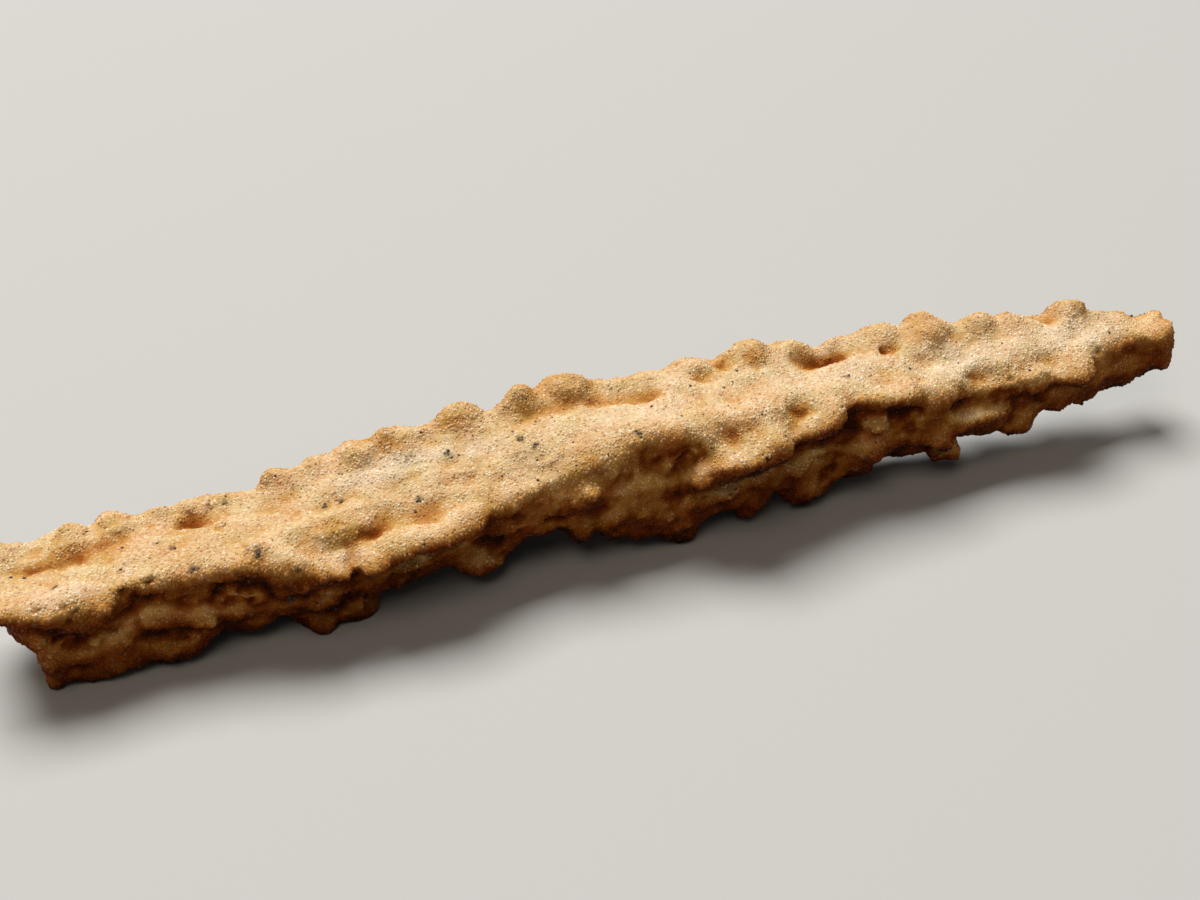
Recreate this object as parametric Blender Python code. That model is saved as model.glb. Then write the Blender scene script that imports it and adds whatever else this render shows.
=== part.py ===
"""A fulgurite: dune sand that a lightning strike fused into one long, knobbly bar.

It lies along X on its own knobs, with the broken end at -X and the tip at +X. Run it with
    blender --background --python part.py
"""

import math
import random

import bmesh
import bpy
from mathutils import Matrix, Vector, noise

MM = 0.001  # the sizes below are in millimetres, and Blender's own are in metres

# Driving dimensions
LENGTH = 114.2
HALF_WIDTH = 6.4  # of the bar, without its knobs
HEIGHT = 13.0  # of the bar, without its knobs

# How finely the surface is kept
RING_STEP = 1.0
RING_POINTS = 40
VOXEL = 0.42
MELT_ROUNDS = 2  # of smoothing, once bar and knobs are one
WEAR_ROUNDS = 1  # of smoothing, once the skin is weathered
MOST_TRIANGLES = 9600

# What it rests on: four knobs underneath, rubbed flat at one level
# (distance from the broken end, distance across)
FEET = ((28.0, -3.1), (62.5, -2.5), (17.0, 3.3), (70.0, 3.0))
FOOT_RADIUS = 1.9
FOOT_DROP = 0.8  # how far a foot reached below the level that it is worn to
WORN_LEVEL = -0.3

# The hollow that the lightning left, open at the broken end
BORE_WIDTH = 3.6
BORE_HEIGHT = 2.4
BORE_DEPTH = 12.0
# (share of its depth, share of its width)
BORE_STATIONS = ((1.0, 0.3), (0.6, 0.7), (0.12, 0.9), (0.0, 1.1))

# The broken end leans: its lower edge lies further along than its upper one
END_SLANT = 5.0
END_FADE = 16.0  # the lean dies out this far from the end
END_BROW = 0.82  # share of HEIGHT above which the end doesn't lean
END_CHAMFER = 0.88  # the rim of the broken end, as a share of the section
TIP_CHAMFER = 0.95
TIP_ROUNDING = 0.2

# The bar's section is a closed curve through eight lines that run from end to end.
# A key is (share of LENGTH, share of HALF_WIDTH across, share of HEIGHT up).
SECTION_LINES = {
    "back_crest": (
        (0.00, 0.76, 0.74),
        (0.10, 0.82, 0.74),
        (0.20, 0.84, 0.75),
        (0.30, 0.88, 0.91),
        (0.38, 0.90, 0.96),
        (0.46, 0.92, 1.01),
        (0.54, 0.90, 0.96),
        (0.64, 0.88, 0.99),
        (0.70, 0.82, 0.92),
        (0.76, 0.74, 0.98),
        (0.86, 0.60, 0.93),
        (0.94, 0.44, 0.84),
        (1.00, 0.42, 0.83),
    ),
    "top_face": (
        (0.00, 0.00, 0.74),
        (0.20, 0.04, 0.78),
        (0.30, 0.04, 0.84),
        (0.50, 0.04, 1.00),
        (0.66, 0.00, 0.98),
        (0.84, 0.00, 0.90),
        (1.00, 0.00, 0.80),
    ),
    "front_crest": (
        (0.00, -0.74, 0.76),
        (0.20, -0.76, 0.76),
        (0.28, -0.80, 0.68),
        (0.42, -0.72, 0.76),
        (0.52, -0.62, 0.96),
        (0.66, -0.70, 0.92),
        (0.76, -0.62, 0.84),
        (0.90, -0.48, 0.74),
        (1.00, -0.36, 0.76),
    ),
    "front_face": (
        (0.00, -0.74, 0.40),
        (0.24, -0.76, 0.36),
        (0.40, -0.70, 0.46),
        (0.54, -0.76, 0.38),
        (0.66, -0.70, 0.46),
        (0.80, -0.54, 0.46),
        (1.00, -0.34, 0.56),
    ),
    "keel": (
        (0.00, -0.64, -0.01),
        (0.16, -0.50, 0.10),
        (0.28, -0.48, 0.08),
        (0.36, -0.42, 0.24),
        (0.44, -0.40, 0.32),
        (0.54, -0.50, 0.10),
        (0.66, -0.42, 0.16),
        (0.80, -0.32, 0.26),
        (0.92, -0.24, 0.34),
        (1.00, -0.20, 0.38),
    ),
    "underside": (
        (0.00, 0.05, 0.12),
        (0.30, 0.08, 0.18),
        (0.46, 0.10, 0.28),
        (0.70, 0.08, 0.22),
        (1.00, 0.04, 0.42),
    ),
    "back_foot": (
        (0.00, 0.52, 0.14),
        (0.25, 0.58, 0.14),
        (0.48, 0.58, 0.24),
        (0.66, 0.56, 0.14),
        (0.84, 0.40, 0.32),
        (1.00, 0.20, 0.44),
    ),
    "back_side": (
        (0.00, 0.80, 0.40),
        (0.30, 0.88, 0.42),
        (0.60, 0.90, 0.50),
        (0.84, 0.62, 0.58),
        (1.00, 0.34, 0.60),
    ),
}

# Knobs on a line: (distance from the broken end, how far it stands out, length, width)
KNOBS = {
    "back_crest": (
        (3.6, 0.5, 6.4, 5.0),
        (8.6, 0.7, 6.4, 5.0),
        (12.8, 0.9, 6.0, 5.0),
        (16.8, 0.5, 5.4, 4.4),
        (19.8, 0.5, 4.4, 4.0),
        (23.2, 0.4, 5.0, 4.4),
        (27.0, 0.9, 4.8, 4.4),
        (30.4, 0.3, 4.0, 3.2),
        (34.0, 0.4, 5.6, 4.8),
        (38.6, 0.6, 6.0, 5.0),
        (44.4, 1.0, 6.4, 5.0),
        (50.2, 0.8, 4.6, 4.4),
        (54.0, 1.3, 6.4, 5.2),
        (58.4, 0.7, 4.8, 4.4),
        (62.4, 0.7, 4.8, 3.8),
        (66.4, 0.9, 6.0, 4.8),
        (72.4, 1.4, 5.0, 4.8),
        (76.0, 1.0, 5.4, 4.6),
        (80.6, 0.6, 4.8, 4.2),
        (84.8, 1.0, 6.0, 4.6),
        (90.2, 1.0, 6.4, 4.8),
        (95.2, 0.7, 5.4, 4.2),
        (98.9, 0.8, 5.0, 4.0),
        (102.2, 0.3, 4.0, 3.0),
        (105.0, 2.3, 2.4, 3.0),
        (106.3, 2.3, 2.4, 3.0),
        (113.0, 0.7, 3.6, 3.6),
    ),
    "keel": (
        (5.6, 0.5, 2.8, 2.6),
        (8.4, 0.4, 5.0, 3.4),
        (15.8, 1.4, 6.0, 3.6),
        (22.0, 0.4, 5.0, 3.0),
        (27.4, 1.5, 5.0, 3.4),
        (31.4, 1.8, 4.8, 3.8),
        (42.7, 2.4, 5.0, 3.4),
        (52.2, 1.7, 2.6, 2.4),
        (56.8, 1.4, 5.0, 3.6),
        (61.8, 1.3, 5.4, 3.6),
        (69.6, 1.3, 4.4, 3.2),
        (75.2, 1.9, 4.4, 3.4),
        (80.4, 1.0, 3.8, 3.2),
        (89.8, 2.5, 3.4, 2.8),
        (97.6, 1.4, 5.0, 3.0),
        (102.6, 1.0, 5.0, 2.8),
        (109.5, 0.4, 4.0, 2.4),
    ),
    "front_crest": (
        (108.4, 0.3, 3.0, 2.6),
        (111.6, 0.5, 3.2, 2.8),
    ),
    "front_face": (
        (10.6, 0.5, 5.0, 2.4),
        (18.4, 0.7, 2.6, 2.4),
        (26.4, 0.8, 5.0, 2.0),
        (52.0, 0.6, 2.2, 4.0),
        (57.0, 0.7, 5.0, 3.0),
        (63.6, 0.5, 6.0, 2.6),
        (81.0, 1.1, 4.0, 3.4),
    ),
}

# Broken fins along the front, one behind the other. Each is a lip of fused beads, in millimetres:
# (radius of the beads, points that the edge runs through)
FRONT_FINS = (
    (1.4, ((2.2, -5.2, 9.9), (4.6, -5.5, 9.2), (7.0, -5.4, 9.4))),
    (1.2, ((8.8, -5.7, 9.2), (11.0, -5.4, 9.7), (12.6, -5.2, 9.9))),
    (1.3, ((13.8, -5.5, 9.2), (16.2, -5.7, 9.0), (18.2, -5.5, 9.6))),
    (1.5, ((19.8, -5.2, 9.8), (22.6, -5.2, 9.7))),
    (1.2, ((7.4, -6.2, 7.9), (10.4, -6.5, 8.9))),
    (1.2, ((17.3, -5.9, 4.9), (18.6, -5.9, 5.1))),
    (1.0, ((24.6, -6.2, 7.1), (26.6, -6.5, 7.0), (28.0, -6.2, 6.2))),
    (1.4, ((26.0, -3.4, 10.7), (30.0, -3.2, 10.6), (33.6, -2.8, 10.3))),
    (1.6, ((27.0, -4.9, 10.1), (30.6, -5.0, 9.9), (32.6, -4.6, 9.9))),
    (1.4, ((23.2, -5.6, 10.8), (25.6, -6.4, 9.7), (27.6, -6.9, 8.6), (29.4, -7.0, 8.4))),
    (1.3, ((32.2, -6.6, 7.2), (34.0, -7.1, 8.7), (37.5, -7.2, 9.4), (41.0, -6.8, 9.8), (42.6, -5.8, 9.6))),
    (1.5, ((44.4, -5.2, 9.6), (47.2, -5.3, 9.6), (49.4, -5.1, 10.5))),
    (1.9, ((51.6, -4.8, 10.9), (54.8, -4.3, 11.6), (57.6, -3.5, 12.5))),
    (1.2, ((52.0, -5.8, 8.9), (53.4, -6.0, 9.4))),
    (1.5, ((61.2, -4.6, 11.6), (64.2, -4.8, 11.5), (67.6, -4.6, 11.6))),
    (1.9, ((63.4, -6.5, 9.1), (65.6, -7.1, 10.0), (67.9, -7.2, 10.4), (70, -6.8, 10.9))),
    (1.4, ((71.2, -6.2, 10.3), (73.5, -6.5, 10.4), (75.9, -6.2, 10.6))),
    (1.5, ((77.0, -5.0, 12.5), (79.6, -5.0, 12.2))),
    (1.5, ((81.4, -5.0, 12.0), (84.6, -4.8, 11.8), (88.2, -4.6, 10.6))),
    (1.2, ((80.2, -5.3, 9.4), (81.4, -5.3, 9.3))),
    (1.3, ((86.0, -4.7, 10.0), (88.2, -4.8, 8.4))),
    (1.3, ((86.4, -4.9, 7.3), (88.0, -5.4, 5.8), (88.9, -5.3, 4.4))),
    (1.3, ((89.8, -4.3, 11.0), (92.2, -4.6, 9.6), (94.4, -5.0, 10.0), (98.2, -4.9, 9.9))),
    (1.3, ((99.4, -4.7, 9.8), (101.6, -4.6, 9.8), (104.2, -4.2, 10.0))),
    (1.1, ((89.8, -4.8, 7.2), (92.1, -5.1, 6.9), (94.8, -4.8, 7.1))),
    (1.6, ((110.8, -2.4, 10.0), (112.4, -2.2, 9.8))),
    (1.5, ((110.8, -2.2, 6.4), (112.4, -2.0, 6.6))),
)
BEAD_STEP = 1.2  # from bead to bead, as a share of their radius
BEAD_UNEVENNESS = 0.22


# The skin between them: long low ridges, and rounded lumps with creases between
RIDGE_LENGTH = 13.0
RIDGE_WIDTH = 2.4
RIDGE_HEIGHT = 0.6
LUMP_LENGTH = 4.4
LUMP_WIDTH = 3.0
LUMP_HEIGHT = 0.65
TOP_CALM = 0.55  # how much of that the blown-over top face lacks
LUMP_SWIRL = 0.5  # how far the lumps stray from an even spread, as a share of their size

# Furrows and dents: (depth, width, points along its bottom), in millimetres
FURROWS = (
    (0.6, 1.0, ((1.0, 2.6, 9.6), (6.0, 2.8, 9.6), (9.0, 2.9, 9.8))),
    (0.7, 0.9, ((18.2, 2.4, 9.8), (20.6, 1.6, 9.8))),
    (0.7, 1.1, ((50.0, 3.4, 13.0), (55.0, 3.3, 13.0), (61.5, 2.6, 13.0))),
    (0.6, 1.0, ((65.5, 3.7, 12.8), (67.5, 3.6, 12.8))),
    (0.8, 1.0, ((72.8, -3.2, 11.8), (74.6, -3.2, 11.8))),
    (0.8, 1.0, ((77.0, 2.0, 12.6), (80.5, 2.6, 12.4))),
    (0.6, 0.8, ((86.2, -2.0, 11.2), (87.0, -2.0, 11.2))),
    (1.0, 1.1, ((93.0, -2.6, 10.2), (94.0, -3.0, 10.0))),
    (0.8, 1.2, ((7.2, -5.0, 6.0), (8.6, -5.0, 5.8))),
    (0.9, 1.2, ((13.4, -5.2, 8.0), (16.6, -5.2, 7.8))),
    (0.9, 1.3, ((20.0, -5.0, 7.0), (22.6, -5.2, 7.2))),
    (0.5, 0.9, ((30.6, -5.4, 9.2), (32.8, -5.0, 10.2))),
    (1.0, 1.2, ((35.0, -5.6, 6.6), (38.0, -5.6, 6.9), (42.0, -5.2, 7.2))),
    (0.9, 1.5, ((46.0, -4.6, 7.4), (50.0, -4.8, 7.6))),
    (1.4, 1.3, ((58.8, -3.8, 10.8), (60.6, -4.0, 10.4), (61.8, -4.4, 9.8))),
    (0.9, 0.9, ((62.6, -4.6, 10.2), (66.6, -4.6, 10.6))),
    (1.0, 1.3, ((64.0, -5.4, 7.0), (69.0, -5.4, 7.6))),
    (1.3, 1.7, ((71.4, -4.8, 7.8), (77.6, -4.6, 7.8))),
    (1.5, 1.3, ((79.0, -4.4, 10.9), (82.0, -4.2, 10.2), (84.8, -4.0, 9.6))),
    (1.3, 1.1, ((91.8, -3.2, 10.2), (93.2, -2.6, 10.3))),
    (1.2, 1.1, ((90.6, -4.2, 8.6), (95.6, -4.2, 8.3))),
    (0.9, 1.3, ((98.0, -3.6, 7.4), (103.0, -3.4, 7.6))),
    (0.8, 1.3, ((106.0, -2.8, 9.8), (111.4, -2.4, 9.2))),
)

# Smaller knobs and fins, scattered by a seeded loop: (line, how many, least and most share of LENGTH)
SCATTER_SEED = 7
SCATTERED_KNOBS = (
    ("back_side", 24, 0.04, 0.97),
    ("back_foot", 20, 0.05, 0.92),
    ("underside", 12, 0.08, 0.90),
    ("front_face", 16, 0.05, 0.95),
)
SMALL_KNOB_WIDTH = (2.4, 3.6)
SMALL_KNOB_REACH = (0.2, 1.0)
SMALL_KNOB_STRETCH = (1.0, 1.7)  # length over width
SCATTERED_FINS = (
    ("back_side", 9, 0.03, 0.93),
    ("back_foot", 9, 0.04, 0.90),
    ("underside", 7, 0.06, 0.88),
)
SMALL_FIN_RADIUS = (1.0, 1.4)
SMALL_FIN_REACH = (0.3, 1.1)
SMALL_FIN_TILT = 0.12  # sideways for each millimetre along
TAPER_START = 0.7  # share of LENGTH from which what is scattered grows smaller
SLIMMEST = 0.55  # and its size at the tip, beside that on the thick half

KNOB_STALK = 0.35  # how much a knob that stands further out is longer, as a share of its reach
KNOB_ROUGHNESS = 0.22  # how far a knob departs from an egg, as a share of its size
KNOB_DENTS = 0.45  # how far apart its dents lie, as a share of its width


def between(keys, share):
    """The values of a line's keys at this share of the length, eased from key to key."""
    for before, after in zip(keys, keys[1:]):
        if share <= after[0]:
            t = (share - before[0]) / (after[0] - before[0])
            t = t * t * (3 - 2 * t)
            return [a + (b - a) * t for a, b in zip(before[1:], after[1:])]
    return list(keys[-1][1:])


def line_point(name, x):
    """The point of a section line at a distance from the broken end."""
    across, up = between(SECTION_LINES[name], min(max(x / LENGTH, 0), 1))
    return Vector((x, across * HALF_WIDTH, up * HEIGHT))


def section_centre(x):
    points = [line_point(name, x) for name in SECTION_LINES]
    return sum(points, Vector()) / len(points)


def curve_point(points, turn):
    """A point on the closed Catmull-Rom curve through these points, for turn from 0 to 1."""
    place = turn * len(points)
    first = math.floor(place)
    t = place - first
    a, b, c, d = (points[(first + i) % len(points)] for i in (-1, 0, 1, 2))
    return 0.5 * (2 * b + (c - a) * t + (2 * a - 5 * b + 4 * c - d) * t**2 + (3 * b - a - 3 * c + d) * t**3)


def section_ring(x):
    """The bar's outline at x. Near the broken end it leans, the lower edge further along."""
    points = [line_point(name, x) for name in SECTION_LINES]
    ring = [curve_point(points, i / RING_POINTS) for i in range(RING_POINTS)]
    lean = END_SLANT * max(0, 1 - x / END_FADE)
    for point in ring:
        point.x += lean * (1 - min(point.z / (END_BROW * HEIGHT), 1) ** 2)
    return ring


def bore_ring(x, share):
    """A ring of the hollow at x, at this share of its full size."""
    outer = section_ring(x)
    middle = sum(outer, Vector()) / len(outer)
    ring = []
    for point in outer:
        angle = math.atan2(point.z - middle.z, point.y - middle.y)
        across = BORE_WIDTH / 2 * math.cos(angle)
        up = BORE_HEIGHT / 2 * math.sin(angle)
        lean = (point.x - middle.x) * BORE_HEIGHT / HEIGHT
        ring.append(middle + Vector((lean, across, up)) * share)
    return ring


def shrunk(ring, share, dx):
    """This ring pulled in towards its middle and moved along X."""
    middle = sum(ring, Vector()) / len(ring)
    return [middle + (point - middle) * share + Vector((dx, 0, 0)) for point in ring]


def add_bar(bm):
    """The bar itself, from the bottom of its hollow, out over the broken end and along to the tip."""
    rings = [bore_ring(depth * BORE_DEPTH, width) for depth, width in BORE_STATIONS]
    rings.append(shrunk(section_ring(0), END_CHAMFER, 0))
    steps = round(LENGTH / RING_STEP)
    rings += [section_ring(LENGTH * i / steps) for i in range(steps + 1)]
    rings.append(shrunk(rings[-1], TIP_CHAMFER, TIP_ROUNDING))
    loops = [[bm.verts.new(point) for point in ring] for ring in rings]
    for near, far in zip(loops, loops[1:]):
        for i in range(RING_POINTS):
            j = (i + 1) % RING_POINTS
            bm.faces.new((near[i], near[j], far[j], far[i]))
    bm.faces.new(loops[0])
    bm.faces.new(reversed(loops[-1]))
    bmesh.ops.recalc_face_normals(bm, faces=bm.faces)


def add_knob(bm, line, x, reach, length, width):
    """A rounded knob that grows out of a section line."""
    foot = line_point(line, x)
    outward = (foot - section_centre(x)).normalized()
    depth = 0.5 * width + KNOB_STALK * reach
    centre = foot + outward * (reach - depth)
    turn = Vector((0, 0, 1)).rotation_difference(outward).to_matrix().to_4x4()
    size = Matrix.Diagonal((0.5 * length, 0.5 * width, depth, 1))
    place = Matrix.Translation(centre) @ turn @ size
    knob = bmesh.ops.create_icosphere(bm, subdivisions=3, radius=1, matrix=place)
    for vert in knob["verts"]:
        vert.co += (vert.co - centre) * KNOB_ROUGHNESS * noise.noise(vert.co / (KNOB_DENTS * width))


def slimness(x):
    """How small what is scattered has become at x, where the bar tapers to its tip."""
    return 1 - (1 - SLIMMEST) * max(0, x / LENGTH - TAPER_START) / (1 - TAPER_START)


def add_feet(bm):
    for x, y in FEET:
        place = Matrix.Translation((x, y, WORN_LEVEL - FOOT_DROP + FOOT_RADIUS))
        bmesh.ops.create_icosphere(bm, subdivisions=3, radius=FOOT_RADIUS, matrix=place)


def add_scattered_knobs(bm, dice):
    for line, count, low, high in SCATTERED_KNOBS:
        for i in range(count):
            x = LENGTH * (low + (high - low) * (i + dice.uniform(0.1, 0.9)) / count)
            width = dice.uniform(*SMALL_KNOB_WIDTH) * slimness(x)
            reach = dice.uniform(*SMALL_KNOB_REACH) * slimness(x)
            add_knob(bm, line, x, reach, width * dice.uniform(*SMALL_KNOB_STRETCH), width)


def add_scattered_fins(bm, dice):
    for line, count, low, high in SCATTERED_FINS:
        pitch = LENGTH * (high - low) / count
        for i in range(count):
            start = LENGTH * low + pitch * (i + dice.uniform(0.0, 0.4))
            stretch = pitch * dice.uniform(0.35, 0.5)
            tilt = dice.uniform(-SMALL_FIN_TILT, SMALL_FIN_TILT)
            edge = []
            for x in (start, start + stretch, start + 2 * stretch):
                foot = line_point(line, x)
                outward = (foot - section_centre(x)).normalized()
                sideways = Vector((0, -outward.z, outward.y)) * tilt * (x - start)
                edge.append(foot + outward * dice.uniform(*SMALL_FIN_REACH) * slimness(x) + sideways)
            add_fin(bm, dice.uniform(*SMALL_FIN_RADIUS) * slimness(start), edge, dice)


def add_growths(bm):
    """Everything that stands on the bar."""
    dice = random.Random(SCATTER_SEED)
    add_feet(bm)
    for line, knobs in KNOBS.items():
        for knob in knobs:
            add_knob(bm, line, *knob)
    for radius, edge in FRONT_FINS:
        add_fin(bm, radius, edge, dice)
    add_scattered_knobs(bm, dice)
    add_scattered_fins(bm, dice)


def add_fin(bm, radius, edge, dice):
    """A lip whose edge runs through these points: a row of uneven beads that run into one another."""
    for start, end in zip(edge, edge[1:]):
        start, end = Vector(start), Vector(end)
        steps = math.ceil((end - start).length / (BEAD_STEP * radius))
        for i in range(steps + 1):
            point = start.lerp(end, i / steps)
            bead = radius * dice.uniform(1 - BEAD_UNEVENNESS, 1 + BEAD_UNEVENNESS)
            outward = (point - section_centre(point.x)).normalized()
            place = Matrix.Translation(point - outward * radius)
            bmesh.ops.create_icosphere(bm, subdivisions=2, radius=bead, matrix=place)


def distance_to_path(point, path):
    """The shortest distance from a point to a path of straight stretches."""
    nearest = math.inf
    for start, end in zip(path, path[1:]):
        start, end = Vector(start), Vector(end)
        run = end - start
        t = min(max((point - start).dot(run) / run.length_squared, 0), 1)
        nearest = min(nearest, (point - start - run * t).length)
    return nearest


def weathered(point, normal):
    """A surface point moved along its normal by low ridges, rounded lumps and furrows."""
    ridges = noise.noise(Vector((point.x / RIDGE_LENGTH, point.y / RIDGE_WIDTH, point.z / RIDGE_WIDTH)))
    swirl = noise.noise_vector(point / LUMP_LENGTH)
    place = Vector((point.x / LUMP_LENGTH, point.y / LUMP_WIDTH, point.z / LUMP_WIDTH)) + LUMP_SWIRL * swirl
    nearest = noise.voronoi(place)[0][0]
    calm = 1 - TOP_CALM * max(normal.z, 0) ** 2
    height = RIDGE_HEIGHT * calm * ridges + LUMP_HEIGHT * calm * (0.5 - 2 * min(nearest, 1) ** 2)
    for depth, width, path in FURROWS:
        height -= depth * math.exp(-((distance_to_path(point, path) / width) ** 2))
    return point + normal * height


def object_of(name, mesh):
    made = bpy.data.objects.new(name, mesh)
    bpy.context.scene.collection.objects.link(made)
    return made


def evaluated_mesh(made, name):
    """The mesh that an object's modifiers give, as a new mesh; the object is removed."""
    bpy.context.view_layer.update()
    graph = bpy.context.evaluated_depsgraph_get()
    mesh = bpy.data.meshes.new_from_object(made.evaluated_get(graph))
    mesh.name = name
    bpy.data.objects.remove(made)
    return mesh


def skinned(mesh, name, rounds):
    """One clean skin over everything in the mesh, softened by some rounds of smoothing."""
    melt = object_of("melt", mesh)
    remesh = melt.modifiers.new("Fuse", "REMESH")
    remesh.mode = "VOXEL"
    remesh.voxel_size = VOXEL
    smooth = melt.modifiers.new("Soften", "SMOOTH")
    smooth.factor = 0.5
    smooth.iterations = rounds
    return evaluated_mesh(melt, name)


def fused_mesh():
    """Bar and growths melted into one, then weathered."""
    bm = bmesh.new()
    add_bar(bm)
    add_growths(bm)
    mesh = bpy.data.meshes.new("parts")
    bm.to_mesh(mesh)
    bm.free()
    fused = skinned(mesh, "fused", MELT_ROUNDS)
    normals = [vert.normal.copy() for vert in fused.vertices]
    for vert, normal in zip(fused.vertices, normals):
        vert.co = weathered(vert.co, normal)
    return skinned(fused, "weathered", WEAR_ROUNDS)


def thinned_mesh(mesh):
    """The same skin with fewer triangles."""
    quads = len(mesh.polygons)
    skin = object_of("skin", mesh)
    triangulate = skin.modifiers.new("Triangles", "TRIANGULATE")
    triangulate.min_vertices = 4
    decimate = skin.modifiers.new("Thin out", "DECIMATE")
    decimate.ratio = MOST_TRIANGLES / (2 * quads)
    decimate.use_collapse_triangulate = True
    return evaluated_mesh(skin, "thinned")


def rest_on_feet(bm):
    """Rubs the lowest knobs flat, then puts the origin under the middle of the box, at the flats."""
    cut = bmesh.ops.bisect_plane(
        bm,
        geom=bm.verts[:] + bm.edges[:] + bm.faces[:],
        plane_co=(0, 0, WORN_LEVEL),
        plane_no=(0, 0, -1),
        clear_outer=True,
    )
    rims = [item for item in cut["geom_cut"] if isinstance(item, bmesh.types.BMEdge)]
    bmesh.ops.edgeloop_fill(bm, edges=rims)
    bmesh.ops.triangulate(bm, faces=[face for face in bm.faces if len(face.verts) > 3])
    bmesh.ops.recalc_face_normals(bm, faces=bm.faces)
    low, high = (Vector([pick(vert.co[i] for vert in bm.verts) for i in range(3)]) for pick in (min, max))
    middle = (low + high) / 2
    bmesh.ops.translate(bm, verts=bm.verts, vec=(-middle.x, -middle.y, -low.z))


def fused_sand():
    """Pale brown sand grains in a rough skin, with no gloss."""
    material = bpy.data.materials.new("fused_sand")
    material.use_nodes = True
    shader = material.node_tree.nodes["Principled BSDF"]
    shader.inputs["Base Color"].default_value = (0.47, 0.29, 0.14, 1)
    shader.inputs["Roughness"].default_value = 0.9
    shader.inputs["Metallic"].default_value = 0
    return material


def build():
    for old in list(bpy.data.objects):
        bpy.data.objects.remove(old)
    mesh = thinned_mesh(fused_mesh())
    bm = bmesh.new()
    bm.from_mesh(mesh)
    rest_on_feet(bm)
    bmesh.ops.scale(bm, verts=bm.verts, vec=(MM, MM, MM))
    bm.to_mesh(mesh)
    bm.free()
    mesh.shade_smooth()
    mesh.materials.clear()
    mesh.materials.append(fused_sand())
    object_of("fulgurite", mesh)


build()
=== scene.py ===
import math

import bpy
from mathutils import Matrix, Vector


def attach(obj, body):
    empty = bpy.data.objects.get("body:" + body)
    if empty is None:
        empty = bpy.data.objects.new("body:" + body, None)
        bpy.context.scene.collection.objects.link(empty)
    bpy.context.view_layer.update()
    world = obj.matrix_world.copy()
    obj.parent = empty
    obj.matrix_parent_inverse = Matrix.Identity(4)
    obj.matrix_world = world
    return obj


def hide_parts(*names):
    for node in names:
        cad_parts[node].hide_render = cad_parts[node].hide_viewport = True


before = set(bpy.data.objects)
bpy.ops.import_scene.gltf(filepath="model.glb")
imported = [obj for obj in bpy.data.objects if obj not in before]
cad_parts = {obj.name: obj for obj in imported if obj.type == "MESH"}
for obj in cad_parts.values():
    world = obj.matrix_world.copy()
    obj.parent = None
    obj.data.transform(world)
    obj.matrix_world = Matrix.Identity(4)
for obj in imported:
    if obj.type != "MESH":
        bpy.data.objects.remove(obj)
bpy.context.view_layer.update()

mm = 0.001


# Colours are sRGB hex values, and Blender's sockets take linear ones
def linearColour(hexValue):
    parts = [int(hexValue[i:i + 2], 16) / 255 for i in (1, 3, 5)]
    return tuple(c / 12.92 if c <= 0.04045 else ((c + 0.055) / 1.055) ** 2.4 for c in parts) + (1.0,)


# Adds a node. Inputs are values, sockets or nodes, whose first output is taken, and settings are its own
def addNode(tree, kind, inputs=(), **settings):
    node = tree.nodes.new(kind)
    for name, value in settings.items():
        setattr(node, name, value)
    for key, value in inputs.items() if isinstance(inputs, dict) else enumerate(inputs):
        if isinstance(value, bpy.types.Node):
            value = value.outputs[0]
        if isinstance(value, bpy.types.NodeSocket):
            tree.links.new(value, node.inputs[key])
        else:
            node.inputs[key].default_value = value
    return node


def selectOnly(thing):
    bpy.ops.object.select_all(action="DESELECT")
    thing.hide_set(False)
    thing.select_set(True)
    bpy.context.view_layer.objects.active = thing


def applyAll(thing):
    selectOnly(thing)
    for modifier in list(thing.modifiers):
        bpy.ops.object.modifier_apply(modifier=modifier.name)


def copyOf(thing, name):
    selectOnly(thing)
    bpy.ops.object.duplicate()
    copy = bpy.context.active_object
    copy.name = copy.data.name = name
    for key in list(copy.keys()):
        del copy[key]
    copy.parent = None
    return copy


# A geometry node tree that takes a mesh and gives one back
def newShapeTree(name):
    tree = bpy.data.node_groups.new(name, "GeometryNodeTree")
    tree.interface.new_socket("Geometry", in_out="INPUT", socket_type="NodeSocketGeometry")
    tree.interface.new_socket("Geometry", in_out="OUTPUT", socket_type="NodeSocketGeometry")
    tree.nodes.new("NodeGroupInput")
    return tree


def shapeWith(thing, tree, geometry):
    addNode(tree, "NodeGroupOutput", (geometry,))
    thing.modifiers.new(tree.name, "NODES").node_group = tree
    applyAll(thing)
    bpy.data.node_groups.remove(tree)


print("stage: camera, floor and light")

viewpoint = {"azimuth": -20.5, "elevation": 36.0, "distance": 180 * mm, "lens": 60.0, "sensor": 36.0,
             "nearest": 5 * mm, "aim": (-2.293 * mm, -0.034 * mm, 10.0 * mm)}
turn, rise = math.radians(viewpoint["azimuth"]), math.radians(viewpoint["elevation"])
away = Vector((math.sin(turn) * math.cos(rise), -math.cos(turn) * math.cos(rise), math.sin(rise)))
bpy.ops.object.camera_add(
    location=Vector(viewpoint["aim"]) + away * viewpoint["distance"],
    rotation=(math.radians(90) - rise, 0, turn))
camera = bpy.context.active_object
camera.data.lens = viewpoint["lens"]
camera.data.sensor_width = viewpoint["sensor"]
camera.data.clip_start = viewpoint["nearest"]
bpy.context.scene.camera = camera

studio = {"floorSize": 4.0, "floorColour": "#BCBEC0", "floorRoughness": 0.9,
          "keySize": 0.8, "keyPlace": (-0.10, 0.55, 1.22), "keyPower": 24.4, "keyColour": "#FFFAF2",
          "fillSize": 0.4, "fillPlace": (-0.30, -0.42, 0.80), "fillPower": 1.5, "fillColour": "#FFEBD2",
          "airColour": "#F2EEE8", "airStrength": 0.06}


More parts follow.
